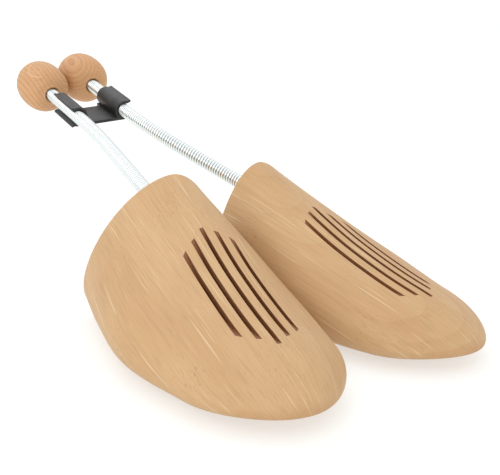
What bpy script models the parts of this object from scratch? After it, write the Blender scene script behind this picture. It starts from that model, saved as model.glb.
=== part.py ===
"""A clipped pair of spiral-spring shoe trees, in metres, +Z up, toes towards -Y.

Each tree is a beech forepart with five saw-cut vents, a close-wound steel spring
and a turned beech knob. One plastic clip holds the two springs side by side.
"Right" is the tree of the right shoe, on the -X side. "Left" is its mirror image.
"""

from math import atan2, cos, pi, radians, sin, sqrt

import bmesh
import bpy
from mathutils import Matrix, Vector

MM = 0.001
GAP = 0.3 * MM
SAME_POINT = 0.01 * MM

# Forepart: the wooden last that fills the front of the shoe. Widths and heights are
# (place, millimetres), where place runs from 0 at the rear face to 1 at the toe.
FOREPART_LENGTH = 143 * MM
SECTION_POINTS = 32
BODY_STATIONS = 15
TOE_STATIONS = 7
TOE_START = 0.76
OUTER_HALF_WIDTH = ((0.0, 36.5), (0.25, 44.0), (0.50, 46.0), (0.75, 37.0), (1.0, 27.5))
INNER_HALF_WIDTH = ((0.0, 30.0), (0.25, 35.8), (0.50, 40.0), (0.75, 36.8), (1.0, 28.0))
INSTEP_HEIGHT = ((0.0, 70.0), (0.25, 56.5), (0.50, 43.0), (0.75, 31.5), (1.0, 24.5))
WIDEST_HEIGHT = ((0.0, 18.0), (0.50, 13.5), (1.0, 10.5))
TOE_SPRING = ((0.0, 0.0), (0.60, 0.0), (0.80, 1.7), (1.0, 4.7))
RIDGE_INWARD = ((0.0, 5.2), (0.50, 3.4), (1.0, 1.7))
OUTER_CROWN = ((0.0, 1.70), (1.0, 1.66))
INNER_CROWN = ((0.0, 2.00), (1.0, 1.88))
SOLE_SQUARENESS = 3.4
SOLE_PLANED_OFF = 0.6 * MM
# The rear face leans forward and turns outwards a little, which fades out towards the toe.
REAR_LEAN = 0.061
REAR_TURN = 0.075
REAR_LEAN_HEIGHT = 30 * MM
REAR_FADE = 0.5

# Vents: five equal saw blades on one arbor, plunged into the instep.
BLADE_RADIUS = 95 * MM
BLADE_THICKNESS = 2.6 * MM
BLADE_PITCH = 6.2 * MM
BLADE_SEGMENTS = 72
VENT_COUNT = 5
VENT_MIDDLE = 0.556
VENT_DEPTH = 7 * MM
SLOPE_REACH = 0.1

# Spring: close-wound round wire, glued into a blind bore at each end.
SPRING_RADIUS = 3.8 * MM
WIRE_DIAMETER = 1.75 * MM
GROOVE_DEPTH = 0.42 * WIRE_DIAMETER
TURN_STEPS = 10
CURVE_STEPS = 60
SPRING_IN_FOREPART = 22 * MM
SPRING_IN_KNOB = 16 * MM
SPRING_RISE = radians(11)
EXIT_HEIGHT = 51.8 * MM
EXIT_TURN = radians(6.5)
STRAIGHT_BEFORE_CLIP = 6 * MM
ARCH_Y = 20 * MM
SWAY_Y = 61 * MM
DRILL_SEGMENTS = 24
DRILL_RUN_OUT = 10 * MM

# Knob: a turned barrel with a flattened back and a chamfered bore.
KNOB_RADIUS = 14.6 * MM
KNOB_LENGTH = 34 * MM
KNOB_SEGMENTS = 32
KNOB_PROFILE_STEPS = 14
KNOB_FIRST_TURN = radians(16)
KNOB_FULLNESS = 0.78
KNOB_END_FULLNESS = 0.82
KNOB_CHAMFER = 1.0 * MM

# Clip: two snap channels, mouths outward, on one web.
CHANNEL_LENGTH = 27 * MM
WEB_LENGTH = 22.5 * MM
CLIP_WALL = 1.7 * MM
WEB_THICKNESS = 1.8 * MM
CHANNEL_CLEARANCE = 0.3 * MM
MOUTH_HALF_ANGLE = radians(70)
LIP_REACH = 2.0 * MM
LIP_SPREAD = 0.55 * MM
LIP_THICKNESS = 1.2 * MM
ARC_STEPS = 14
LOWER_ARC_STEPS = 3
SPRING_SPACING = 29.2 * MM
NOTCH_HEIGHT = 6 * MM
# Where the middle of the clip is, how far it is turned in plan, and how much it leans.
CLIP_MIDDLE = (-7.4 * MM, 99.4 * MM, 82.8 * MM)
CLIP_TURN = radians(2.4)
CLIP_LEAN = radians(6.3)

# Where each tree stands: side is -1 for the right tree and +1 for the left.
TREES = {
    "right": {
        "side": -1,
        "heel_of_forepart": (-31.6 * MM, -21.9 * MM),
        "toe_out": radians(8.5),
        "knob_from_clip": 25.5 * MM,
    },
    "left": {
        "side": 1,
        "heel_of_forepart": (31.6 * MM, -13.4 * MM),
        "toe_out": radians(8.5),
        "knob_from_clip": 32 * MM,
    },
}

BEECH = {"color": (0.72, 0.50, 0.32, 1), "roughness": 0.55, "metallic": 0.0}
STEEL = {"color": (0.72, 0.75, 0.76, 1), "roughness": 0.25, "metallic": 1.0}
PLASTIC = {"color": (0.045, 0.045, 0.047, 1), "roughness": 0.45, "metallic": 0.0}


def clear_scene():
    for obj in list(bpy.data.objects):
        bpy.data.objects.remove(obj, do_unlink=True)
    for collection in list(bpy.data.collections):
        bpy.data.collections.remove(collection)


def new_collection(name, visible=True):
    collection = bpy.data.collections.new(name)
    bpy.context.scene.collection.children.link(collection)
    collection.hide_render = not visible
    return collection


def new_material(name, look):
    material = bpy.data.materials.new(name)
    material.use_nodes = True
    shader = material.node_tree.nodes["Principled BSDF"]
    shader.inputs["Base Color"].default_value = look["color"]
    shader.inputs["Roughness"].default_value = look["roughness"]
    shader.inputs["Metallic"].default_value = look["metallic"]
    material.diffuse_color = look["color"]
    return material


def finish_object(name, bm, material, collection, sharp_angle=radians(35)):
    """Turns a bmesh into a named object whose faces point out and whose curved faces shade smooth."""
    bmesh.ops.recalc_face_normals(bm, faces=bm.faces)
    mesh = bpy.data.meshes.new(name)
    bm.to_mesh(mesh)
    bm.free()
    mesh.shade_smooth()
    mesh.set_sharp_from_angle(angle=sharp_angle)
    if material:
        mesh.materials.append(material)
    obj = bpy.data.objects.new(name, mesh)
    collection.objects.link(obj)
    return obj


def move_origin(obj, point):
    """Puts an object's origin at a point of the world and leaves its shape where it is."""
    obj.data.transform(Matrix.Translation(-point))
    obj.location = point


def hide_cutter(obj):
    obj.hide_render = True
    obj.display_type = "WIRE"


def cut(target, cutter):
    modifier = target.modifiers.new("Cut " + cutter.name, "BOOLEAN")
    modifier.operation = "DIFFERENCE"
    modifier.solver = "EXACT"
    modifier.object = cutter


def smooth_value(points, where):
    """A smooth curve through a few (place, value) points, read at one place."""
    places = [place for place, _ in points]
    values = [value for _, value in points]
    last = len(points) - 1
    where = min(max(where, places[0]), places[last])
    step = 0
    while step < last - 1 and where > places[step + 1]:
        step += 1

    def slope(at):
        before, after = max(at - 1, 0), min(at + 1, last)
        return (values[after] - values[before]) / (places[after] - places[before])

    span = places[step + 1] - places[step]
    part = (where - places[step]) / span
    rise = values[step + 1] - values[step]
    start, end = slope(step) * span, slope(step + 1) * span
    curve = values[step] + part * start
    curve += part**2 * (3 * rise - 2 * start - end) + part**3 * (start + end - 2 * rise)
    return curve


def length_at(points, place):
    """The same curve, through a table given in millimetres, in metres."""
    return smooth_value(points, place) * MM


def signed_power(value, power):
    return abs(value) ** power * (1 if value >= 0 else -1)


def forepart_point(place, turn):
    """A point of the last in its own frame, X outwards: a crowned top on a squarer, planed sole."""
    closing = max(0.0, (place - TOE_START) / (1 - TOE_START))
    shrink = sqrt(max(0.0, 1 - closing**2))
    side, up = cos(turn), sin(turn)
    outside = side >= 0
    reach = length_at(OUTER_HALF_WIDTH if outside else INNER_HALF_WIDTH, place) * shrink
    widest = length_at(WIDEST_HEIGHT, place)
    if up >= 0:
        crown = 2 / smooth_value(OUTER_CROWN if outside else INNER_CROWN, place)
        ridge = -length_at(RIDGE_INWARD, place) * shrink
        across = signed_power(side, crown)
        x = ridge * (1 - abs(across)) + reach * across
        z = widest + (length_at(INSTEP_HEIGHT, place) - widest) * shrink * up**crown
    else:
        corner = 2 / SOLE_SQUARENESS
        drop = (widest - length_at(TOE_SPRING, place)) * shrink + SOLE_PLANED_OFF
        x = reach * signed_power(side, corner)
        z = max(0.0, widest - drop * abs(up) ** corner)
    rear = REAR_TURN * x - REAR_LEAN * (z - REAR_LEAN_HEIGHT)
    y = rear * max(0.0, 1 - place / REAR_FADE) - place * FOREPART_LENGTH
    return Vector((x, y, z))


def forepart_places():
    """Evenly spaced along the body, then closer and closer towards the toe."""
    body = [TOE_START * step / BODY_STATIONS for step in range(BODY_STATIONS + 1)]
    toe = [
        TOE_START + (1 - TOE_START) * sin(pi / 2 * step / TOE_STATIONS)
        for step in range(1, TOE_STATIONS)
    ]
    return body + toe


def forepart_frame(tree):
    """The forepart's own frame in the world, with local +X outwards and local -Y to the toe."""
    side = tree["side"]
    x, y = tree["heel_of_forepart"]
    place = Matrix.Translation((x, y, 0))
    turn = Matrix.Rotation(side * tree["toe_out"], 4, "Z")
    return place @ turn @ Matrix.Diagonal((side, 1, 1, 1))


def build_forepart(name, tree, material, parts, cutters):
    """A cylinder cut into rings, each ring moved onto its section of the last, then vented and bored."""
    places = forepart_places()
    bm = bmesh.new()
    bmesh.ops.create_cone(
        bm,
        cap_ends=True,
        segments=SECTION_POINTS,
        radius1=1,
        radius2=1,
        depth=places[-1],
        matrix=Matrix.Translation((0, 0, places[-1] / 2)),
    )
    for place in places[1:-1]:
        everything = bm.verts[:] + bm.edges[:] + bm.faces[:]
        bmesh.ops.bisect_plane(bm, geom=everything, plane_co=(0, 0, place), plane_no=(0, 0, 1))
    toe_cap = max(bm.faces, key=lambda face: face.calc_center_median().z)
    tip = bmesh.ops.poke(bm, faces=[toe_cap])["verts"][0]
    frame = forepart_frame(tree)
    for vertex in bm.verts:
        place = 1.0 if vertex == tip else vertex.co.z
        vertex.co = frame @ forepart_point(place, atan2(vertex.co.y, vertex.co.x))
    forepart = finish_object(name, bm, material, parts, radians(40))
    for cutter in vent_cutters(name, tree, cutters):
        cut(forepart, cutter)
    cut(forepart, bore_cutter(name, tree, cutters))
    return forepart


def vent_cutters(name, tree, cutters):
    """The saw blades, which share one arbor above the instep, square to its slope."""
    above = length_at(INSTEP_HEIGHT, VENT_MIDDLE - SLOPE_REACH)
    below = length_at(INSTEP_HEIGHT, VENT_MIDDLE + SLOPE_REACH)
    slope = atan2(above - below, 2 * SLOPE_REACH * FOREPART_LENGTH)
    reach = BLADE_RADIUS - VENT_DEPTH
    arbor = Vector(
        (
            -length_at(RIDGE_INWARD, VENT_MIDDLE) / 2,
            -VENT_MIDDLE * FOREPART_LENGTH - reach * sin(slope),
            length_at(INSTEP_HEIGHT, VENT_MIDDLE) + reach * cos(slope),
        )
    )
    blades = []
    for blade in range(VENT_COUNT):
        offset = (blade - (VENT_COUNT - 1) / 2) * BLADE_PITCH
        centre = Matrix.Translation(arbor + Vector((offset, 0, 0)))
        bm = bmesh.new()
        bmesh.ops.create_cone(
            bm,
            cap_ends=True,
            segments=BLADE_SEGMENTS,
            radius1=BLADE_RADIUS,
            radius2=BLADE_RADIUS,
            depth=BLADE_THICKNESS,
            matrix=forepart_frame(tree) @ centre @ Matrix.Rotation(pi / 2, 4, "Y"),
        )
        cutter = finish_object(f"{name}_blade_{blade + 1}", bm, None, cutters)
        hide_cutter(cutter)
        blades.append(cutter)
    return blades


def turned_to(direction):
    """The turn that takes local Z onto a direction."""
    return direction.to_track_quat("Z", "Y").to_matrix().to_4x4()


def bore_cutter(name, tree, cutters):
    """A drill along the spring's first stretch, from outside the rear face."""
    line = spring_line(tree)
    length = SPRING_IN_FOREPART + GAP + DRILL_RUN_OUT
    middle = line["exit"] + line["exit_direction"] * (DRILL_RUN_OUT - length / 2)
    bm = bmesh.new()
    bmesh.ops.create_cone(
        bm,
        cap_ends=True,
        segments=DRILL_SEGMENTS,
        radius1=SPRING_RADIUS + GAP,
        radius2=SPRING_RADIUS + GAP,
        depth=length,
        matrix=Matrix.Translation(middle) @ turned_to(line["exit_direction"]),
    )
    cutter = finish_object(name + "_drill", bm, None, cutters)
    hide_cutter(cutter)
    return cutter


def clip_frame():
    """The clip's own frame: local Y along the springs, local X from the right one to the left one."""
    turn = Matrix.Rotation(-CLIP_TURN, 4, "Z") @ Matrix.Rotation(SPRING_RISE, 4, "X")
    return Matrix.Translation(CLIP_MIDDLE) @ turn @ Matrix.Rotation(-CLIP_LEAN, 4, "Y")


def spring_line(tree):
    """The spring leaves the rear face, curves up to the clip, and runs straight from there into the knob."""
    side = tree["side"]
    lean = -REAR_LEAN * (EXIT_HEIGHT - REAR_LEAN_HEIGHT)
    exit_direction = Vector((0, cos(SPRING_RISE), sin(SPRING_RISE)))
    exit_direction.rotate(Matrix.Rotation(side * EXIT_TURN, 3, "Z"))
    clip, x = clip_frame(), side * SPRING_SPACING / 2
    straight = CHANNEL_LENGTH / 2 + STRAIGHT_BEFORE_CLIP
    return {
        "exit": forepart_frame(tree) @ Vector((0, lean, EXIT_HEIGHT)),
        "exit_direction": exit_direction,
        "straight_start": clip @ Vector((x, -straight, 0)),
        "clip": clip @ Vector((x, 0, 0)),
        "knob": clip @ Vector((x, tree["knob_from_clip"], 0)),
        "knob_direction": clip.to_3x3() @ Vector((0, 1, 0)),
    }


def spring_points(line):
    """Close points along the whole spring, its two buried ends included, with their distance along it."""
    start, end = line["exit"], line["straight_start"]
    reach = (end - start).length / 3
    bend_in = start + line["exit_direction"] * reach
    bend_out = end - line["knob_direction"] * reach
    points = [start - line["exit_direction"] * SPRING_IN_FOREPART]
    for step in range(CURVE_STEPS + 1):
        t = step / CURVE_STEPS
        point = start * (1 - t) ** 3 + bend_in * 3 * t * (1 - t) ** 2
        points.append(point + bend_out * 3 * t**2 * (1 - t) + end * t**3)
    points.append(line["knob"] + line["knob_direction"] * SPRING_IN_KNOB)
    distances = [0.0]
    for before, after in zip(points, points[1:]):
        distances.append(distances[-1] + (after - before).length)
    return points, distances


def point_along(points, distances, distance):
    """The point and direction at a distance along the spring."""
    step = 0
    while step < len(points) - 2 and distances[step + 1] < distance:
        step += 1
    part = (distance - distances[step]) / (distances[step + 1] - distances[step])
    return points[step].lerp(points[step + 1], part), (points[step + 1] - points[step]).normalized()


def distance_at_y(points, distances, y):
    """How far along the spring it passes a given world Y."""
    step = 0
    while points[step + 1].y < y:
        step += 1
    part = (y - points[step].y) / (points[step + 1].y - points[step].y)
    return distances[step] + part * (distances[step + 1] - distances[step])


def direction_along(points, distances, distance):
    """The direction, averaged over one wire each way so that it turns smoothly."""
    behind, _ = point_along(points, distances, distance - WIRE_DIAMETER)
    ahead, _ = point_along(points, distances, distance + WIRE_DIAMETER)
    return (ahead - behind).normalized()


def build_spring_section(name, tree, start, end, material, parts):
    """One stretch of the spring: a screw-shaped ridge of wire turns, cut flat and bent along its line."""
    points, distances = spring_points(spring_line(tree))
    spare_turns = 2
    turns = int((end - start) / WIRE_DIAMETER) + 2 * spare_turns
    low = start - spare_turns * WIRE_DIAMETER
    bm = bmesh.new()
    profile = []
    for half_turn in range(2 * turns + 1):
        radius = SPRING_RADIUS if half_turn % 2 else SPRING_RADIUS - GROOVE_DEPTH
        profile.append(bm.verts.new((radius, 0, low + half_turn * WIRE_DIAMETER / 2)))
    edges = [bm.edges.new(pair) for pair in zip(profile, profile[1:])]
    bmesh.ops.spin(
        bm,
        geom=profile + edges,
        cent=(0, 0, 0),
        axis=(0, 0, 1),
        dvec=(0, 0, WIRE_DIAMETER / TURN_STEPS),
        angle=2 * pi,
        steps=TURN_STEPS,
    )
    bmesh.ops.remove_doubles(bm, verts=bm.verts, dist=SAME_POINT)
    for height, clear_above in ((start, False), (end, True)):
        result = bmesh.ops.bisect_plane(
            bm,
            geom=bm.verts[:] + bm.edges[:] + bm.faces[:],
            dist=SAME_POINT / 10,
            plane_co=(0, 0, height),
            plane_no=(0, 0, 1),
            clear_outer=clear_above,
            clear_inner=not clear_above,
        )
        rim = [item for item in result["geom_cut"] if isinstance(item, bmesh.types.BMEdge)]
        bmesh.ops.contextual_create(bm, geom=rim)
    for vertex in bm.verts:
        distance = vertex.co.z
        centre, _ = point_along(points, distances, distance)
        along = direction_along(points, distances, distance)
        across = Vector((1, 0, 0))
        across = (across - along * across.dot(along)).normalized()
        vertex.co = centre + across * vertex.co.x + along.cross(across) * vertex.co.y
    return finish_object(name, bm, material, parts, radians(60))


def knob_profile():
    """(radius, height) from the bore's blind end, out of its chamfered mouth and round to the back."""
    bore = SPRING_RADIUS + GAP
    mouth = bore + KNOB_CHAMFER
    profile = [(0, SPRING_IN_KNOB + GAP), (bore, SPRING_IN_KNOB + GAP), (bore, KNOB_CHAMFER), (mouth, 0)]
    for step in range(KNOB_PROFILE_STEPS + 1):
        turn = KNOB_FIRST_TURN + (pi - KNOB_FIRST_TURN) * step / KNOB_PROFILE_STEPS
        radius = KNOB_RADIUS * max(0.0, sin(turn)) ** KNOB_FULLNESS
        height = KNOB_LENGTH / 2 * (1 - signed_power(cos(turn), KNOB_END_FULLNESS))
        if radius > mouth + KNOB_CHAMFER / 2:
            profile.append((radius, height))
    return profile + [(0, KNOB_LENGTH)]


def build_knob(name, tree, material, parts):
    """Turned: its profile spun round the spring's axis."""
    line = spring_line(tree)
    bm = bmesh.new()
    verts = [bm.verts.new((radius, 0, height)) for radius, height in knob_profile()]
    edges = [bm.edges.new(pair) for pair in zip(verts, verts[1:])]
    bmesh.ops.spin(
        bm,
        geom=verts + edges,
        cent=(0, 0, 0),
        axis=(0, 0, 1),
        angle=2 * pi,
        steps=KNOB_SEGMENTS,
        use_merge=True,
    )
    bmesh.ops.remove_doubles(bm, verts=bm.verts, dist=SAME_POINT)
    bm.transform(Matrix.Translation(line["knob"]) @ turned_to(line["knob_direction"]))
    return finish_object(name, bm, material, parts, radians(35))


def channel_outline():
    """Half of the clip's section: one snap channel round a spring, mouth outwards, as (x, z) points."""
    inner = SPRING_RADIUS + CHANNEL_CLEARANCE
    outer = inner + CLIP_WALL
    lower, upper = -MOUTH_HALF_ANGLE, MOUTH_HALF_ANGLE

    def arc(radius, start, end, steps):
        for step in range(steps + 1):
            angle = start + (end - start) * step / steps
            yield (SPRING_SPACING / 2 + radius * cos(angle), radius * sin(angle))

    def lip(angle, away):
        """The flared end of the channel's wall, as its outer corner and its inner corner."""
        x, z = next(arc(outer, angle, angle, 1))
        corner = (x + LIP_REACH, z + away * LIP_SPREAD)
        return corner, (corner[0], corner[1] - away * LIP_THICKNESS)

    lower_corner, lower_inner = lip(lower, -1)
    upper_corner, upper_inner = lip(upper, 1)
    web_top = WEB_THICKNESS - outer
    web_angle = 2 * pi + atan2(web_top, -sqrt(outer**2 - web_top**2))
    points = list(arc(outer, -pi / 2, lower, LOWER_ARC_STEPS))
    points += [lower_corner, lower_inner]
    points += arc(inner, lower, upper - 2 * pi, ARC_STEPS)
    points += [upper_inner, upper_corner]
    points += arc(outer, upper, web_angle, ARC_STEPS)
    return points


def build_clip(name, material, parts, cutters):
    """The clip's section drawn flat, extruded along the springs, with the web cut back at the knob end."""
    left_half = channel_outline()
    right_half = [(-x, z) for x, z in reversed(left_half)]
    front = -CHANNEL_LENGTH / 2
    bm = bmesh.new()
    face = bm.faces.new([bm.verts.new((x, front, z)) for x, z in left_half + right_half])
    pushed = bmesh.ops.extrude_face_region(bm, geom=[face])
    new_verts = [item for item in pushed["geom"] if isinstance(item, bmesh.types.BMVert)]
    bmesh.ops.translate(bm, verts=new_verts, vec=(0, CHANNEL_LENGTH, 0))
    bm.transform(clip_frame())
    clip = finish_object(name, bm, material, parts, radians(30))

    outer = SPRING_RADIUS + CHANNEL_CLEARANCE + CLIP_WALL
    size = (SPRING_SPACING - 2 * outer, 2 * (CHANNEL_LENGTH - WEB_LENGTH), NOTCH_HEIGHT)
    notch = bmesh.new()
    bmesh.ops.create_cube(notch, size=1)
    bmesh.ops.scale(notch, verts=notch.verts, vec=size)
    notch.transform(clip_frame() @ Matrix.Translation((0, CHANNEL_LENGTH / 2, -outer)))
    cutter = finish_object(name + "_notch", notch, None, cutters)
    hide_cutter(cutter)
    cut(clip, cutter)
    return clip


def build_tree(name, tree, beech, steel, parts, cutters):
    line = spring_line(tree)
    points, distances = spring_points(line)
    arch = distance_at_y(points, distances, ARCH_Y)
    sway = distance_at_y(points, distances, SWAY_Y)
    whole = distances[-1]
    build_forepart(name + "_forepart", tree, beech, parts, cutters)
    sections = (
        ("front", 0, arch - GAP / 2),
        ("middle", arch + GAP / 2, sway - GAP / 2),
        ("rear", sway + GAP / 2, whole),
    )
    hinges = {"front": arch, "middle": arch, "rear": sway}
    for section, start, end in sections:
        spring = build_spring_section(f"{name}_spring_{section}", tree, start, end, steel, parts)
        move_origin(spring, point_along(points, distances, hinges[section])[0])
    knob = build_knob(name + "_knob", tree, beech, parts)
    move_origin(knob, line["knob"])


def main():
    clear_scene()
    parts = new_collection("Shoe tree pair")
    cutters = new_collection("Cutters", visible=False)
    beech = new_material("Beech", BEECH)
    steel = new_material("Spring steel", STEEL)
    plastic = new_material("Black plastic", PLASTIC)
    for name, tree in TREES.items():
        build_tree(name, tree, beech, steel, parts, cutters)
    build_clip("pair_clip", plastic, parts, cutters)


main()
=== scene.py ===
from bisect import bisect_left
from math import atan2, cos, floor, pi, radians, sin, sqrt

import bmesh
import bpy
from mathutils import Matrix, Vector


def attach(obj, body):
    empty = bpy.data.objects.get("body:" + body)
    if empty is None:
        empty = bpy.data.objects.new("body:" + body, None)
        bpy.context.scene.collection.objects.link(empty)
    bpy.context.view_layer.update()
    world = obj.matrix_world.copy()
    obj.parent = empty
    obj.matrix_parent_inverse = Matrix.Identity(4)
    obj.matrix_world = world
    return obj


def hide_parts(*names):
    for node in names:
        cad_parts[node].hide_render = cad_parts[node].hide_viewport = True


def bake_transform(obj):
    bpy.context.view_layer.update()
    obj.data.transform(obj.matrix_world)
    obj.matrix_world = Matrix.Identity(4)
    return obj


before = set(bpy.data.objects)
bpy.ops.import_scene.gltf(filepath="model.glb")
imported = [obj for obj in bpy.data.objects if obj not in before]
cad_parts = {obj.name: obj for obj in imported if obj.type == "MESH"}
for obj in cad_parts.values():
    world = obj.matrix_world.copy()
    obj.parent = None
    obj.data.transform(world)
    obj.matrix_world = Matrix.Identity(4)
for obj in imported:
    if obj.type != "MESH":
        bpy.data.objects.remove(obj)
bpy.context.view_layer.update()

mm = 0.001
parts = bpy.data.collections.new("Shoe tree pair")
studio = bpy.data.collections.new("Studio")
for collection in (parts, studio):
    bpy.context.scene.collection.children.link(collection)

# where each tree stands, and how it is held by the clip; side is -1 for the right tree
trees = {
    "right": {"side": -1, "heel": (-31.6, -21.9), "toeOut": 8.5, "knobFromClip": 25.5, "ringDepth": 0.05},
    "left": {"side": 1, "heel": (31.6, -13.4), "toeOut": 8.5, "knobFromClip": 32.0, "ringDepth": 0.15},
}


# small helpers

def smoothAt(table, place):
    # a smooth curve through (place, value) points, read at one place
    places = [point[0] for point in table]
    values = [point[1] for point in table]
    last = len(table) - 1
    place = min(max(place, places[0]), places[last])
    step = 0
    while step < last - 1 and place > places[step + 1]:
        step += 1

    def slope(at):
        before, after = max(at - 1, 0), min(at + 1, last)
        return (values[after] - values[before]) / (places[after] - places[before])

    span = places[step + 1] - places[step]
    t = (place - places[step]) / span
    rise = values[step + 1] - values[step]
    start, end = slope(step) * span, slope(step + 1) * span
    return (values[step] + t * start + t * t * (3 * rise - 2 * start - end)
            + t ** 3 * (start + end - 2 * rise))


def signedPower(value, power):
    return abs(value) ** power * (1 if value >= 0 else -1)


def addPiece(name, bm, materials, sharpAngle=35, collection=parts):
    mesh = bpy.data.meshes.new(name)
    bm.to_mesh(mesh)
    bm.free()
    mesh.shade_smooth()
    mesh.set_sharp_from_angle(angle=radians(sharpAngle))
    for material in materials:
        mesh.materials.append(material)
    obj = bpy.data.objects.new(name, mesh)
    collection.objects.link(obj)
    return obj


def applyModifiers(obj, sharpAngle=35):
    bpy.context.view_layer.update()
    graph = bpy.context.evaluated_depsgraph_get()
    final = bpy.data.meshes.new_from_object(obj.evaluated_get(graph))
    obj.modifiers.clear()
    obj.data = final
    final.shade_smooth()
    final.set_sharp_from_angle(angle=radians(sharpAngle))
    return obj


def cutAway(obj, cutters, sharpAngle=35):
    # takes the cutters out of obj; their faces bring their own material with them
    for cutter in cutters:
        difference = obj.modifiers.new("Cut", "BOOLEAN")
        difference.operation = "DIFFERENCE"
        difference.solver = "EXACT"
        difference.material_mode = "TRANSFER"
        difference.object = cutter
    applyModifiers(obj, sharpAngle)
    for cutter in cutters:
        bpy.data.objects.remove(cutter)
    return obj


def triangles(obj):
    obj.data.calc_loop_triangles()
    return len(obj.data.loop_triangles)


# shader node groups

def newGroup(name, inputs, outputs):
    group = bpy.data.node_groups.new(name, "ShaderNodeTree")
    for label, kind, value in inputs:
        socket = group.interface.new_socket(label, in_out="INPUT", socket_type=kind)
        if value is not None:
            socket.default_value = value
    for label, kind in outputs:
        group.interface.new_socket(label, in_out="OUTPUT", socket_type=kind)
    return group


class Nodes:
    # short ways to place nodes in one tree
    def __init__(self, tree):
        self.tree = tree

    def add(self, kind, **settings):
        node = self.tree.nodes.new("ShaderNode" + kind)
        for name, value in settings.items():
            setattr(node, name, value)
        return node

    def put(self, socket, value):
        if isinstance(value, bpy.types.NodeSocket):
            self.tree.links.new(value, socket)
        else:
            socket.default_value = value

    def math(self, operation, a, b=0.0, clamp=False):
        node = self.add("Math", operation=operation, use_clamp=clamp)
        self.put(node.inputs[0], a)
        self.put(node.inputs[1], b)
        return node.outputs[0]

    def stretch(self, vector, scale, location=(0, 0, 0)):
        node = self.add("Mapping")
        self.put(node.inputs["Vector"], vector)
        node.inputs["Scale"].default_value = scale
        node.inputs["Location"].default_value = location
        return node.outputs[0]

    def noise(self, vector, scale=1.0, detail=3.0, roughness=0.5):
        node = self.add("TexNoise")
        self.put(node.inputs["Vector"], vector)
        node.inputs["Scale"].default_value = scale
        node.inputs["Detail"].default_value = detail
        node.inputs["Roughness"].default_value = roughness
        return node.outputs["Fac"]

    def ramp(self, value, stops, interpolation="LINEAR"):
        node = self.add("ValToRGB")
        self.put(node.inputs[0], value)
        node.color_ramp.interpolation = interpolation
        points = node.color_ramp.elements
        while len(points) < len(stops):
            points.new(0.5)
        for point, (place, colour) in zip(points, stops):
            point.position = place
            point.color = (*colour, 1) if isinstance(colour, tuple) else (colour,) * 3 + (1,)
        return node.outputs["Color"]

    def between(self, value, low, high):
        node = self.add("MapRange", interpolation_type="SMOOTHSTEP")
        self.put(node.inputs["Value"], value)
        node.inputs["From Min"].default_value = low
        node.inputs["From Max"].default_value = high
        return node.outputs["Result"]

    def mix(self, factor, a, b, blend="MIX"):
        node = self.add("Mix", data_type="RGBA", blend_type=blend)
        self.put(node.inputs[0], factor)
        self.put(node.inputs[6], a)
        self.put(node.inputs[7], b)
        return node.outputs[2]


def makeBeechGrain():
    # local Y runs along the grain, and the growth rings run round it
    group = newGroup("Beech grain", [
        ("Vector", "NodeSocketVector", None),
        ("Ring Spacing", "NodeSocketFloat", 105.0),
        ("Ring Waver", "NodeSocketFloat", 3.0),
        ("Ray Height", "NodeSocketFloat", 0.0),
    ], [
        ("Rings", "NodeSocketFloat"), ("Fibres", "NodeSocketFloat"), ("Streaks", "NodeSocketFloat"),
        ("Flecks", "NodeSocketFloat"), ("Tone", "NodeSocketFloat"), ("Height", "NodeSocketFloat"),
    ])
    n = Nodes(group)
    inside, outside = group.nodes.new("NodeGroupInput"), group.nodes.new("NodeGroupOutput")
    vector = inside.outputs["Vector"]
    wave = n.add("TexWave", wave_type="RINGS", rings_direction="Y", wave_profile="SAW")
    n.put(wave.inputs["Vector"], n.stretch(vector, (1, 0.22, 1)))
    n.put(wave.inputs["Scale"], inside.outputs["Ring Spacing"])
    n.put(wave.inputs["Distortion"], inside.outputs["Ring Waver"])
    wave.inputs["Detail"].default_value = 2.0
    wave.inputs["Detail Scale"].default_value = 0.35
    rings = n.math("POWER", wave.outputs["Fac"], 2.2)
    # fibres and streaks lie in thin sheets round a line inside the piece, so they stay straight on it
    split, rays = n.add("SeparateXYZ"), n.add("CombineXYZ")
    n.put(split.inputs[0], vector)
    across, above = split.outputs["X"], n.math("SUBTRACT", split.outputs["Z"], inside.outputs["Ray Height"])
    n.put(rays.inputs["X"], n.math("MULTIPLY", n.math("ARCTAN2", across, above), 0.045))
    n.put(rays.inputs["Y"], split.outputs["Y"])
    n.put(rays.inputs["Z"], n.math("SQRT", n.math("ADD", n.math("MULTIPLY", across, across),
                                                  n.math("MULTIPLY", above, above))))
    fibres = n.noise(n.stretch(rays.outputs[0], (1900, 45, 260)), 1.0, 3.0, 0.60)
    streakNoise = n.noise(n.stretch(rays.outputs[0], (1650, 22, 50), (3, 7, 1)), 1.0, 1.0, 0.4)
    streaks = n.between(streakNoise, 0.645, 0.75)
    fleckNoise = n.noise(n.stretch(vector, (2100, 300, 900), (9, 2, 4)), 1.0, 1.0, 0.5)
    fleckPatches = n.between(n.noise(vector, 38.0, 2.0), 0.40, 0.66)
    flecks = n.math("MULTIPLY", n.between(fleckNoise, 0.60, 0.72), fleckPatches)
    tone = n.noise(n.stretch(vector, (42, 11, 42), (2, 5, 8)), 1.0, 3.0, 0.55)
    height = n.math("SUBTRACT", n.math("MULTIPLY", fibres, 0.7), n.math("MULTIPLY", flecks, 0.35))
    for label, value in (("Rings", rings), ("Fibres", fibres), ("Streaks", streaks),
                         ("Flecks", flecks), ("Tone", tone), ("Height", height)):
        n.put(outside.inputs[label], value)
    return group


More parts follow.
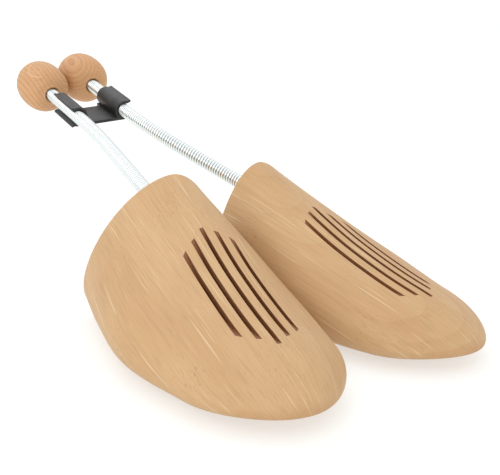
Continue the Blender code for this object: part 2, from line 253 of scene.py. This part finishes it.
def makeSurfaceMottle():
    # handling marks, dust and fine scuffs, as a slow mask and a fine one
    group = newGroup("Surface mottle", [
        ("Vector", "NodeSocketVector", None),
        ("Slow Scale", "NodeSocketFloat", 60.0),
        ("Fine Scale", "NodeSocketFloat", 900.0),
    ], [("Slow", "NodeSocketFloat"), ("Fine", "NodeSocketFloat")])
    n = Nodes(group)
    inside, outside = group.nodes.new("NodeGroupInput"), group.nodes.new("NodeGroupOutput")
    for label, detail in (("Slow", 3.0), ("Fine", 2.0)):
        noise = n.add("TexNoise")
        n.put(noise.inputs["Vector"], inside.outputs["Vector"])
        n.put(noise.inputs["Scale"], inside.outputs[label + " Scale"])
        noise.inputs["Detail"].default_value = detail
        n.put(outside.inputs[label], noise.outputs["Fac"])
    return group


beechGrain = makeBeechGrain()
surfaceMottle = makeSurfaceMottle()


# materials

wood = {
    "pale": (0.560, 0.360, 0.184),
    "deep": (0.515, 0.311, 0.148),
    "ringLine": (0.400, 0.190, 0.075),
    "streak": (0.720, 0.560, 0.360),
    "warm": (1.16, 0.97, 0.93),
    # painted shade colour for the faces cut by the blade; its strength is given below
    "sawnShade": (0.30, 0.115, 0.038),
    "fleck": (0.300, 0.165, 0.080),
    "endGrain": (0.450, 0.240, 0.110),
    "toneFrom": 0.30, "toneTo": 0.70,
    "fibreDepth": 0.75, "streakDepth": 0.55, "fleckDepth": 0.45, "endGrainDepth": 0.45, "sawnShadeDepth": 0.85,
    "roughness": (0.46, 0.62), "bump": 0.00006, "sawnBump": 0.00018, "gloss": 0.35,
    "scuffScale": 45.0, "dustScale": 1300.0,
}


def newMaterial(name):
    material = bpy.data.materials.new(name)
    material.use_nodes = True
    n = Nodes(material.node_tree)
    shader = material.node_tree.nodes["Principled BSDF"]
    return material, n, shader


def useGroup(n, group, **values):
    node = n.tree.nodes.new("ShaderNodeGroup")
    node.node_tree = group
    for label, value in values.items():
        n.put(node.inputs[label.replace("_", " ")], value)
    return node


def grainVector(n, origin, grain):
    # Object coordinates with their Y turned onto the grain and their origin moved to the heart
    coordinates = n.add("TexCoord")
    mapping = n.add("Mapping", vector_type="TEXTURE")
    n.put(mapping.inputs["Vector"], coordinates.outputs["Object"])
    mapping.inputs["Location"].default_value = origin
    mapping.inputs["Rotation"].default_value = Vector(grain).to_track_quat("Y", "Z").to_euler()
    return coordinates, mapping.outputs[0]


def makeBeech(name, origin, grain, spacing=105.0, waver=3.0, ringDepth=0.35, rayHeight=0.0,
              warmth=0.0, cut=False):
    material, n, shader = newMaterial(name)
    coordinates, vector = grainVector(n, origin, grain)
    grainNode = useGroup(n, beechGrain, Vector=vector, Ring_Spacing=spacing, Ring_Waver=waver,
                         Ray_Height=rayHeight)
    out = grainNode.outputs
    tone = n.between(out["Tone"], wood["toneFrom"], wood["toneTo"])
    colour = n.mix(tone, (*wood["deep"], 1), (*wood["pale"], 1))
    colour = n.mix(n.math("MULTIPLY", out["Rings"], ringDepth), colour, (*wood["ringLine"], 1))
    if warmth:
        colour = n.mix(warmth, colour, (*wood["warm"], 1), "MULTIPLY")
    fibreShade = n.ramp(out["Fibres"], [(0.30, 0.80), (0.50, 0.97), (0.70, 1.0)])
    colour = n.mix(wood["fibreDepth"], colour, fibreShade, "MULTIPLY")
    colour = n.mix(n.math("MULTIPLY", out["Streaks"], wood["streakDepth"]), colour, (*wood["streak"], 1))
    colour = n.mix(n.math("MULTIPLY", out["Flecks"], wood["fleckDepth"]), colour, (*wood["fleck"], 1))
    # faces square to the grain show darker end grain
    facing = n.add("VectorMath", operation="DOT_PRODUCT")
    n.put(facing.inputs[0], coordinates.outputs["Normal"])
    facing.inputs[1].default_value = Vector(grain).normalized()
    across = n.between(n.math("ABSOLUTE", facing.outputs["Value"]), 0.62, 0.98)
    colour = n.mix(n.math("MULTIPLY", across, wood["endGrainDepth"]), colour, (*wood["endGrain"], 1))
    if cut:  # painted shade: the faces cut by the blade are darkened as if shaded deep in the narrow slots
        colour = n.mix(wood["sawnShadeDepth"], colour, (*wood["sawnShade"], 1), "MULTIPLY")
    n.put(shader.inputs["Base Color"], colour)
    mottle = useGroup(n, surfaceMottle, Vector=vector, Slow_Scale=wood["scuffScale"],
                      Fine_Scale=wood["dustScale"])
    rough = n.add("MapRange")
    n.put(rough.inputs["Value"], n.math("ADD", n.math("MULTIPLY", mottle.outputs["Slow"], 0.6),
                                        n.math("MULTIPLY", out["Fibres"], 0.4)))
    rough.inputs["To Min"].default_value, rough.inputs["To Max"].default_value = wood["roughness"]
    n.put(shader.inputs["Roughness"], rough.outputs["Result"])
    bump = n.add("Bump")
    bump.inputs["Distance"].default_value = wood["sawnBump"] if cut else wood["bump"]
    n.put(bump.inputs["Height"], out["Height"])
    n.put(shader.inputs["Normal"], bump.outputs["Normal"])
    shader.inputs["Specular IOR Level"].default_value = wood["gloss"]
    return material


steel = {
    # the darkening between the coil turns is painted shade
    "face": (0.80, 0.84, 0.84), "dulled": (0.77, 0.82, 0.83), "grooveShade": (0.18, 0.195, 0.19),
    "grooveFrom": 0.16, "grooveTo": 0.58, "grooveDepth": 0.85,
    "roughness": (0.14, 0.34), "bump": 0.00001, "slowScale": 90.0, "fineScale": 1600.0,
}


def makeBrightSteel():
    material, n, shader = newMaterial("Zinc bright spring wire")
    coordinates = n.add("TexCoord")
    mottle = useGroup(n, surfaceMottle, Vector=coordinates.outputs["Object"],
                      Slow_Scale=steel["slowScale"], Fine_Scale=steel["fineScale"])
    depth = n.add("Attribute", attribute_name="grooveDepth")
    inGroove = n.between(depth.outputs["Fac"], steel["grooveFrom"], steel["grooveTo"])
    tint = n.mix(n.between(mottle.outputs["Slow"], 0.35, 0.65), (*steel["dulled"], 1),
                 (*steel["face"], 1))
    # painted shade: the wire is darkened where it dips into the grooves between turns
    n.put(shader.inputs["Base Color"], n.mix(n.math("MULTIPLY", inGroove, steel["grooveDepth"]), tint,
                                             (*steel["grooveShade"], 1)))
    rough = n.add("MapRange")
    n.put(rough.inputs["Value"], n.math("ADD", n.math("MULTIPLY", mottle.outputs["Fine"], 0.5),
                                        n.math("MULTIPLY", inGroove, 0.5)))
    rough.inputs["To Min"].default_value, rough.inputs["To Max"].default_value = steel["roughness"]
    n.put(shader.inputs["Roughness"], rough.outputs["Result"])
    shader.inputs["Metallic"].default_value = 1.0
    bump = n.add("Bump")
    bump.inputs["Distance"].default_value = steel["bump"]
    n.put(bump.inputs["Height"], mottle.outputs["Fine"])
    n.put(shader.inputs["Normal"], bump.outputs["Normal"])
    return material


plastic = {
    "colour": (0.013, 0.013, 0.014), "rubbed": (0.028, 0.028, 0.027),
    "roughness": (0.40, 0.56), "bump": 0.00003, "slowScale": 140.0, "fineScale": 2600.0,
}


def makeMouldedPlastic():
    material, n, shader = newMaterial("Moulded black plastic")
    coordinates = n.add("TexCoord")
    mottle = useGroup(n, surfaceMottle, Vector=coordinates.outputs["Object"],
                      Slow_Scale=plastic["slowScale"], Fine_Scale=plastic["fineScale"])
    rubbed = n.between(n.math("ADD", n.math("MULTIPLY", mottle.outputs["Slow"], 0.7),
                              n.math("MULTIPLY", mottle.outputs["Fine"], 0.3)), 0.46, 0.68)
    n.put(shader.inputs["Base Color"], n.mix(rubbed, (*plastic["colour"], 1), (*plastic["rubbed"], 1)))
    rough = n.add("MapRange")
    n.put(rough.inputs["Value"], mottle.outputs["Fine"])
    rough.inputs["To Min"].default_value, rough.inputs["To Max"].default_value = plastic["roughness"]
    n.put(shader.inputs["Roughness"], rough.outputs["Result"])
    bump = n.add("Bump")
    bump.inputs["Distance"].default_value = plastic["bump"]
    n.put(bump.inputs["Height"], mottle.outputs["Fine"])
    n.put(shader.inputs["Normal"], bump.outputs["Normal"])
    return material


brightSteel = makeBrightSteel()
mouldedPlastic = makeMouldedPlastic()
print("materials ready")


# where things are

clip = {
    "middle": (-7.4, 99.4, 82.8),
    "rise": 11.0, "turn": 2.4, "lean": 6.3,  # degrees
    "spacing": 29.2, "length": 27.0, "webLength": 22.5,
    "wall": 1.7, "web": 1.8, "clearance": 0.3,
    "mouthHalfAngle": 70, "lipReach": 2.0, "lipSpread": 0.55, "lipThickness": 1.2,
    "arcSteps": 40, "edge": 0.28,
}
coil = {
    "radius": 3.8, "pitch": 1.75, "wire": 1.70, "wireSides": 10, "turnSteps": 28,
    "inForepart": 22.0, "inKnob": 16.0,
    "exitHeight": 51.8, "exitTurn": 6.5, "straightBeforeClip": 6.0, "curveSteps": 60,
    "archY": 20.0, "swayY": 61.0, "archReach": 17.0, "swayReach": 17.0,  # where it bends; the coil is split into stretches round these
}
gap = 0.3 * mm


def clipFrame():
    # local Y along the springs, local X from the right one to the left one
    turn = Matrix.Rotation(-radians(clip["turn"]), 4, "Z") @ Matrix.Rotation(radians(clip["rise"]), 4, "X")
    lean = Matrix.Rotation(-radians(clip["lean"]), 4, "Y")
    return Matrix.Translation(Vector(clip["middle"]) * mm) @ turn @ lean


def lastFrame(tree):
    # the forepart's own frame: X outwards, -Y to the toe
    x, y = tree["heel"]
    turn = Matrix.Rotation(radians(tree["side"] * tree["toeOut"]), 4, "Z")
    return Matrix.Translation((x * mm, y * mm, 0)) @ turn @ Matrix.Diagonal((tree["side"], 1, 1, 1))


def springLine(tree):
    side, rise = tree["side"], radians(clip["rise"])
    leaving = Vector((0, cos(rise), sin(rise)))
    leaving.rotate(Matrix.Rotation(radians(side * coil["exitTurn"]), 3, "Z"))
    held, x = clipFrame(), side * clip["spacing"] / 2 * mm
    straight = (clip["length"] / 2 + coil["straightBeforeClip"]) * mm
    back = -last["rearLean"] * (coil["exitHeight"] - last["leanHeight"]) * mm
    return {
        "exit": lastFrame(tree) @ Vector((0, back, coil["exitHeight"] * mm)),
        "leaving": leaving,
        "straight": held @ Vector((x, -straight, 0)),
        "knob": held @ Vector((x, tree["knobFromClip"] * mm, 0)),
        "along": held.to_3x3() @ Vector((0, 1, 0)),
    }


def springPath(tree):
    # close points along the spring, both buried ends included, with their distance along it
    line = springLine(tree)
    start, end = line["exit"], line["straight"]
    reach = (end - start).length / 3
    bendIn, bendOut = start + line["leaving"] * reach, end - line["along"] * reach
    points = [start - line["leaving"] * coil["inForepart"] * mm]
    for step in range(coil["curveSteps"] + 1):
        t = step / coil["curveSteps"]
        points.append(start * (1 - t) ** 3 + bendIn * 3 * t * (1 - t) ** 2
                      + bendOut * 3 * t * t * (1 - t) + end * t ** 3)
    points.append(line["knob"] + line["along"] * coil["inKnob"] * mm)
    distances = [0.0]
    for before, after in zip(points, points[1:]):
        distances.append(distances[-1] + (after - before).length)
    return points, distances


def pointAlong(path, distance):
    points, distances = path
    step = min(max(bisect_left(distances, distance) - 1, 0), len(points) - 2)
    t = (distance - distances[step]) / (distances[step + 1] - distances[step])
    return points[step].lerp(points[step + 1], t)


def distanceAtY(path, y):
    points, distances = path
    step = 0
    while points[step + 1].y < y:
        step += 1
    t = (y - points[step].y) / (points[step + 1].y - points[step].y)
    return distances[step] + t * (distances[step + 1] - distances[step])


# foreparts

last = {
    "length": 141.8, "around": 128, "along": 96, "toeStart": 0.76, "bodyShare": 0.62,
    "outerWidth": ((0.0, 37.6), (0.25, 43.4), (0.50, 46.0), (0.75, 37.0), (1.0, 27.5)),
    "innerWidth": ((0.0, 30.0), (0.25, 35.8), (0.50, 40.0), (0.75, 36.8), (1.0, 28.0)),
    "instep": ((0.0, 70.0), (0.25, 55.8), (0.50, 41.0), (0.75, 30.3), (1.0, 24.5)),
    "widest": ((0.0, 18.0), (0.50, 13.5), (1.0, 10.5)),
    "toeSpring": ((0.0, 0.0), (0.58, 0.0), (0.80, 2.2), (1.0, 5.6)),
    "ridgeIn": ((0.0, 3.8), (0.50, 3.2), (1.0, 1.7)),
    "outerCrown": ((0.0, 1.62), (0.50, 1.68), (1.0, 1.66)),
    "innerCrown": ((0.0, 1.98), (0.25, 2.10), (0.50, 1.94), (1.0, 1.88)),
    "soleSquareness": 2.8, "planedOff": 0.6,
    "rearLean": 0.125, "rearTurn": 0.045, "leanHeight": 30.0, "rearFade": 0.5,
    "rearEdge": 1.1, "drillSides": 64,
    "grainRise": 0.24, "heart": (18.0, 0.0, -70.0), "ringSpacing": 78.0, "ringWaver": 2.6, "rayHeight": 76.0,
}
vents = {
    "bladeRadius": 95.0, "bladeThickness": 2.1, "pitch": 6.2, "count": 5,
    "middle": 0.560, "depth": 6.1, "segments": 240, "slopeReach": 0.1, "sideLift": 1.1,
}


def lastPoint(place, turn):
    closing = max(0.0, (place - last["toeStart"]) / (1 - last["toeStart"]))
    shrink = sqrt(max(0.0, 1 - closing ** 2))
    side, up = cos(turn), sin(turn)
    outside = side >= 0
    reach = smoothAt(last["outerWidth" if outside else "innerWidth"], place) * shrink
    widest = smoothAt(last["widest"], place)
    if up >= 0:
        crown = 2 / smoothAt(last["outerCrown" if outside else "innerCrown"], place)
        ridge = -smoothAt(last["ridgeIn"], place) * shrink
        across = signedPower(side, crown)
        x = ridge * (1 - abs(across)) + reach * across
        z = widest + (smoothAt(last["instep"], place) - widest) * shrink * up ** crown
    else:
        corner = 2 / last["soleSquareness"]
        drop = (widest - smoothAt(last["toeSpring"], place)) * shrink + last["planedOff"]
        x = reach * signedPower(side, corner)
        z = max(0.0, widest - drop * abs(up) ** corner)
    rear = last["rearTurn"] * x - last["rearLean"] * (z - last["leanHeight"])
    y = rear * max(0.0, 1 - place / last["rearFade"]) - place * last["length"]
    return Vector((x, y, z)) * mm


def placeAlong(share):
    # evenly along the body, then closer and closer to the toe
    body = last["bodyShare"]
    if share <= body:
        return last["toeStart"] * share / body
    return last["toeStart"] + (1 - last["toeStart"]) * sin(pi / 2 * (share - body) / (1 - body))


def makeBlades(tree, material):
    middle, reach = vents["middle"], vents["slopeReach"]
    drop = smoothAt(last["instep"], middle - reach) - smoothAt(last["instep"], middle + reach)
    slope = atan2(drop, 2 * reach * last["length"])
    swing = vents["bladeRadius"] - vents["depth"]
    arbor = Vector((-smoothAt(last["ridgeIn"], middle) / 2,
                    -middle * last["length"] - swing * sin(slope),
                    smoothAt(last["instep"], middle) + swing * cos(slope))) * mm
    bm = bmesh.new()
    for blade in range(vents["count"]):
        offset = (blade - (vents["count"] - 1) / 2) * vents["pitch"] * mm
        lift = 0 if offset == 0 else vents["sideLift"] * mm
        place = Matrix.Translation(arbor + Vector((offset, 0, lift))) @ Matrix.Rotation(pi / 2, 4, "Y")
        bmesh.ops.create_cone(bm, cap_ends=True, segments=vents["segments"],
                              radius1=vents["bladeRadius"] * mm, radius2=vents["bladeRadius"] * mm,
                              depth=vents["bladeThickness"] * mm, matrix=lastFrame(tree) @ place)
    bmesh.ops.recalc_face_normals(bm, faces=bm.faces)
    return addPiece("blades", bm, [material])


def makeDrill(tree, material):
    proud = 10 * mm  # how far the drill stands out behind
    line, length = springLine(tree), coil["inForepart"] * mm + gap + proud
    middle = line["exit"] + line["leaving"] * (proud - length / 2)
    radius = coil["radius"] * mm + gap
    turn = line["leaving"].to_track_quat("Z", "Y").to_matrix().to_4x4()
    bm = bmesh.new()
    bmesh.ops.create_cone(bm, cap_ends=True, segments=last["drillSides"], radius1=radius, radius2=radius,
                          depth=length, matrix=Matrix.Translation(middle) @ turn)
    return addPiece("drill", bm, [material])


def buildForepart(name, tree):
    frameOfLast = lastFrame(tree)
    grain = frameOfLast.to_3x3() @ Vector((0, 1, last["grainRise"]))
    outwards, back, up = last["heart"]
    heart = frameOfLast @ Vector((tree["side"] * outwards * mm, back * mm, up * mm))
    rings = {"spacing": last["ringSpacing"], "waver": last["ringWaver"], "ringDepth": tree["ringDepth"],
             "rayHeight": last["rayHeight"] * mm}
    skin = makeBeech(name + " beech", heart, grain, **rings)
    # the cut faces of the slots and the spring bore get painted shade
    sawnShade = makeBeech(name + " sawn beech", heart, grain, cut=True, **rings)
    bm = bmesh.new()
    bmesh.ops.create_cone(bm, cap_ends=True, segments=last["around"], radius1=1, radius2=1,
                          depth=1, matrix=Matrix.Translation((0, 0, 0.5)))
    lengthwise = [e for e in bm.edges if abs(e.verts[0].co.z - e.verts[1].co.z) > 0.5]
    bmesh.ops.subdivide_edges(bm, edges=lengthwise, cuts=last["along"] - 1, use_grid_fill=False)
    for vertex in bm.verts:
        turn = atan2(vertex.co.y, vertex.co.x)
        vertex.co = frameOfLast @ lastPoint(placeAlong(vertex.co.z), turn)
    bmesh.ops.remove_doubles(bm, verts=bm.verts, dist=0.02 * mm)
    bmesh.ops.dissolve_degenerate(bm, edges=bm.edges, dist=0.001 * mm)
    rearFace = max(bm.faces, key=lambda face: face.calc_area())
    bmesh.ops.bevel(bm, geom=list(rearFace.edges), offset=last["rearEdge"] * mm, offset_type="OFFSET",
                    segments=3, profile=0.5, affect="EDGES", clamp_overlap=True, material=-1)
    bmesh.ops.recalc_face_normals(bm, faces=bm.faces)
    forepart = addPiece(name, bm, [skin])
    cutAway(forepart, [makeBlades(tree, sawnShade), makeDrill(tree, sawnShade)], 40)
    return forepart


for side, tree in trees.items():
    forepart = buildForepart(side + "_beech_forepart", tree)
    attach(forepart, side + "_tree")
    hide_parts(side + "_forepart")
    print(forepart.name, triangles(forepart), "triangles")


# springs: round wire, close wound, in three stretches: one for each bend and a stiff one at the heel

def buildCoil(name, path, firstTurn, lastTurn):
    pitch, wire = coil["pitch"] * mm, coil["wire"] * mm
    meanRadius = coil["radius"] * mm - wire / 2
    bm = bmesh.new()
    place = Matrix.Translation((meanRadius, 0, firstTurn * pitch)) @ Matrix.Rotation(pi / 2, 4, "X")
    ring = bmesh.ops.create_circle(bm, segments=coil["wireSides"], radius=wire / 2, matrix=place)
    steps = (lastTurn - firstTurn) * coil["turnSteps"]
    bmesh.ops.spin(bm, geom=ring["verts"] + bm.edges[:], cent=(0, 0, 0), axis=(0, 0, 1),
                   dvec=(0, 0, pitch / coil["turnSteps"]), angle=2 * pi * (lastTurn - firstTurn),
                   steps=steps)
    bmesh.ops.holes_fill(bm, edges=[edge for edge in bm.edges if edge.is_boundary])
    bmesh.ops.recalc_face_normals(bm, faces=bm.faces)
    # how deep each point lies in the groove between turns; the material paints shade and adds roughness from
    # it
    depth = bm.verts.layers.float.new("grooveDepth")
    length = path[1][-1]
    for vertex in bm.verts:
        x, y, along = vertex.co
        vertex[depth] = (coil["radius"] * mm - sqrt(x * x + y * y)) / wire
        centre = pointAlong(path, along)
        behind, ahead = pointAlong(path, max(along - pitch, 0)), pointAlong(path, min(along + pitch, length))
        heading = (ahead - behind).normalized()
        across = Vector((1, 0, 0))
        across = (across - heading * across.dot(heading)).normalized()
        vertex.co = centre + across * x + heading.cross(across) * y
    return addPiece(name, bm, [brightSteel], 60)


for side, tree in trees.items():
    path = springPath(tree)
    arch, sway = distanceAtY(path, coil["archY"] * mm), distanceAtY(path, coil["swayY"] * mm)
    pitch = coil["pitch"] * mm
    meeting = round((arch + sway) / 2 / pitch)
    straightFrom = floor((sway + coil["swayReach"] * mm) / pitch) + 1  # stiff from here, through the clip
    toeEnd = buildCoil(side + "_coil_toe_end", path, 1, meeting)
    heelBend = buildCoil(side + "_coil_heel_bend", path, meeting, straightFrom)
    heelEnd = buildCoil(side + "_coil_heel_end", path, straightFrom, floor(path[1][-1] / pitch) - 1)
    for piece, bodies, middle, reach in (
        (toeEnd, (side + "_tree", side + "_spring_half"), arch, coil["archReach"] * mm),
        (heelBend, (side + "_spring_half", side + "_heel"), sway, coil["swayReach"] * mm),
    ):
        pointAlong(path, middle - reach)
        pointAlong(path, middle + reach)
        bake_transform(piece)
    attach(heelEnd, side + "_heel")
    for piece, node in ((toeEnd, "_spring_front"), (heelBend, "_spring_middle"), (heelEnd, "_spring_rear")):
        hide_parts(side + node)
        print(piece.name, triangles(piece), "triangles")


# knobs

knob = {
    "radius": 14.6, "length": 34.0, "around": 96, "profileSteps": 56,
    "firstTurn": 16, "fullness": 0.78, "endFullness": 0.82, "chamfer": 1.0, "glueGap": 0.3,
    "heart": (-20, 6, 24), "grainOut": 0.10, "grainRise": 0.16,
    "ringSpacing": 135.0, "ringWaver": 2.6, "ringDepth": 0.62, "warmth": 0.55,
}


def buildKnob(name, tree):
    line = springLine(tree)
    bore = coil["radius"] + knob["glueGap"]
    mouth = bore + knob["chamfer"]
    depth = coil["inKnob"] + knob["glueGap"]
    profile = [(0, depth), (bore, depth), (bore, knob["chamfer"]), (mouth, 0)]
    first = radians(knob["firstTurn"])
    for step in range(knob["profileSteps"] + 1):
        turn = first + (pi - first) * step / knob["profileSteps"]
        radius = knob["radius"] * max(0.0, sin(turn)) ** knob["fullness"]
        height = knob["length"] / 2 * (1 - signedPower(cos(turn), knob["endFullness"]))
        if radius > mouth + knob["chamfer"] / 2:
            profile.append((radius, height))
    profile.append((0, knob["length"]))
    bm = bmesh.new()
    verts = [bm.verts.new((radius * mm, 0, height * mm)) for radius, height in profile]
    edges = [bm.edges.new(pair) for pair in zip(verts, verts[1:])]
    bmesh.ops.spin(bm, geom=verts + edges, cent=(0, 0, 0), axis=(0, 0, 1), angle=2 * pi,
                   steps=knob["around"], use_merge=True)
    bmesh.ops.remove_doubles(bm, verts=bm.verts, dist=0.005 * mm)
    bmesh.ops.recalc_face_normals(bm, faces=bm.faces)
    turn = line["along"].to_track_quat("Z", "Y").to_matrix().to_4x4()
    bm.transform(Matrix.Translation(line["knob"]) @ turn)
    side = tree["side"]
    outwards, back, up = knob["heart"]
    heart = line["knob"] + Vector((side * outwards, back, up)) * mm
    grain = line["along"] + Vector((side * knob["grainOut"], 0, knob["grainRise"]))
    beech = makeBeech(name + " beech", heart, grain, knob["ringSpacing"], knob["ringWaver"], knob["ringDepth"],
                      warmth=knob["warmth"])
    return addPiece(name, bm, [beech])


for side, tree in trees.items():
    turned = buildKnob(side + "_turned_knob", tree)
    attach(turned, side + "_heel")
    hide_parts(side + "_knob")
    print(turned.name, triangles(turned), "triangles")


# clip

def arc(radius, start, end, steps):
    for step in range(steps + 1):
        angle = start + (end - start) * step / steps
        yield clip["spacing"] / 2 + radius * cos(angle), radius * sin(angle)


def channelOutline():
    # half of the clip's section: one channel round a spring, mouth outwards
    inner = coil["radius"] + clip["clearance"]
    outer = inner + clip["wall"]
    upper = radians(clip["mouthHalfAngle"])

    def lip(angle, away):
        x, z = next(arc(outer, angle, angle, 1))
        corner = (x + clip["lipReach"], z + away * clip["lipSpread"])
        return corner, (corner[0], corner[1] - away * clip["lipThickness"])

    lowerCorner, lowerInner = lip(-upper, -1)
    upperCorner, upperInner = lip(upper, 1)
    webTop = clip["web"] - outer
    webAngle = 2 * pi + atan2(webTop, -sqrt(outer ** 2 - webTop ** 2))
    points = list(arc(outer, -pi / 2, -upper, 8)) + [lowerCorner, lowerInner]
    points += arc(inner, -upper, upper - 2 * pi, clip["arcSteps"])
    points += [upperInner, upperCorner]
    points += arc(outer, upper, webAngle, clip["arcSteps"])
    return points


def buildClip(name):
    half = channelOutline()
    outline = half + [(-x, z) for x, z in reversed(half)]
    length, outer = clip["length"] * mm, (coil["radius"] + clip["clearance"] + clip["wall"]) * mm
    bm = bmesh.new()
    face = bm.faces.new([bm.verts.new((x * mm, -length / 2, z * mm)) for x, z in outline])
    pushed = bmesh.ops.extrude_face_region(bm, geom=[face])
    moved = [item for item in pushed["geom"] if isinstance(item, bmesh.types.BMVert)]
    bmesh.ops.translate(bm, verts=moved, vec=(0, length, 0))
    bmesh.ops.recalc_face_normals(bm, faces=bm.faces)
    obj = addPiece(name, bm, [mouldedPlastic])
    notch = bmesh.new()
    bmesh.ops.create_cube(notch, size=1)
    bmesh.ops.scale(notch, verts=notch.verts, vec=(clip["spacing"] * mm - 2 * outer,
                                                   2 * (clip["length"] - clip["webLength"]) * mm, 6 * mm))
    bmesh.ops.translate(notch, verts=notch.verts, vec=(0, length / 2, -outer))
    cutAway(obj, [addPiece("notch", notch, [mouldedPlastic])])
    rounded = obj.modifiers.new("Rounded edges", "BEVEL")
    rounded.width, rounded.segments = clip["edge"] * mm, 3
    rounded.limit_method, rounded.angle_limit = "ANGLE", radians(38)
    applyModifiers(obj)
    obj.data.transform(clipFrame())
    return obj


springClip = buildClip("moulded_clip")
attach(springClip, "clip")
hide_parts("pair_clip")
print("clip", triangles(springClip), "triangles")


# floor, light and camera

light = {
    "world": 1.05, "worldLow": 0.98,
    "keySize": 0.8, "keyPower": 1.9, "keyAt": (0.10, 0.55, 0.85),
    "fillSize": 0.9, "fillPower": 3.0, "fillAt": (-0.85, -0.40, 0.55),
    "floor": (0.44, 0.45, 0.44), "floorGlow": 0.56, "floorSize": 3.0, "floorRoughness": 0.75,
}
view = {
    "azimuth": -37.43, "elevation": 16.28, "roll": 3.43, "distance": 0.4585,
    "target": (20.37, -26.30, 31.37), "lens": 63.28,
}


def buildFloor():
    bm = bmesh.new()
    bmesh.ops.create_grid(bm, x_segments=8, y_segments=8, size=light["floorSize"])
    material, n, shader = newMaterial("Pale floor")
    coordinates = n.add("TexCoord")
    mottle = useGroup(n, surfaceMottle, Vector=coordinates.outputs["Object"], Slow_Scale=3.0,
                      Fine_Scale=40.0)
    paler = tuple(value * 0.99 for value in light["floor"])
    n.put(shader.inputs["Base Color"], n.mix(mottle.outputs["Slow"], (*light["floor"], 1), (*paler, 1)))
    shader.inputs["Roughness"].default_value = light["floorRoughness"]
    shader.inputs["Emission Color"].default_value = (1, 1, 0.99, 1)
    shader.inputs["Emission Strength"].default_value = light["floorGlow"]
    ground = addPiece("floor", bm, [material], collection=studio)
    return ground


def addSoftLight(name, size, power, at):
    lamp = bpy.data.lights.new(name, "AREA")
    lamp.shape, lamp.size, lamp.energy = "SQUARE", size, power
    obj = bpy.data.objects.new(name, lamp)
    obj.location = at
    obj.rotation_mode = "QUATERNION"
    obj.rotation_quaternion = Vector(at).to_track_quat("Z", "Y")
    studio.objects.link(obj)


def lightRoom():
    world = bpy.data.worlds.new("Soft white room")
    world.use_nodes = True
    bpy.context.scene.world = world
    n = Nodes(world.node_tree)
    background = world.node_tree.nodes["Background"]
    coordinates = n.add("TexCoord")
    split = n.add("SeparateXYZ")
    n.put(split.inputs[0], coordinates.outputs["Generated"])
    n.put(background.inputs["Color"], n.ramp(split.outputs["Z"], [(0.0, light["worldLow"]), (0.6, 1.0)]))
    background.inputs["Strength"].default_value = light["world"]
    addSoftLight("Key", light["keySize"], light["keyPower"], light["keyAt"])
    addSoftLight("Fill", light["fillSize"], light["fillPower"], light["fillAt"])


def placeCamera():
    around, above, roll = (radians(view[key]) for key in ("azimuth", "elevation", "roll"))
    back = Vector((sin(around) * cos(above), -cos(around) * cos(above), sin(above)))
    right = Vector((cos(around), sin(around), 0))
    up = back.cross(right)
    right, up = right * cos(roll) + up * sin(roll), up * cos(roll) - right * sin(roll)
    data = bpy.data.cameras.new("Camera")
    data.lens, data.sensor_width, data.sensor_fit = view["lens"], 36, "HORIZONTAL"
    data.clip_start, data.clip_end = 0.01, 20
    camera = bpy.data.objects.new("Camera", data)
    camera.matrix_world = Matrix.Translation(Vector(view["target"]) * mm + back * view["distance"]) @ \
        Matrix((right, up, back)).transposed().to_4x4()
    studio.objects.link(camera)
    bpy.context.scene.camera = camera


buildFloor()
lightRoom()
placeCamera()
bpy.context.scene.view_settings.view_transform = "Standard"
print("floor, light and camera ready")
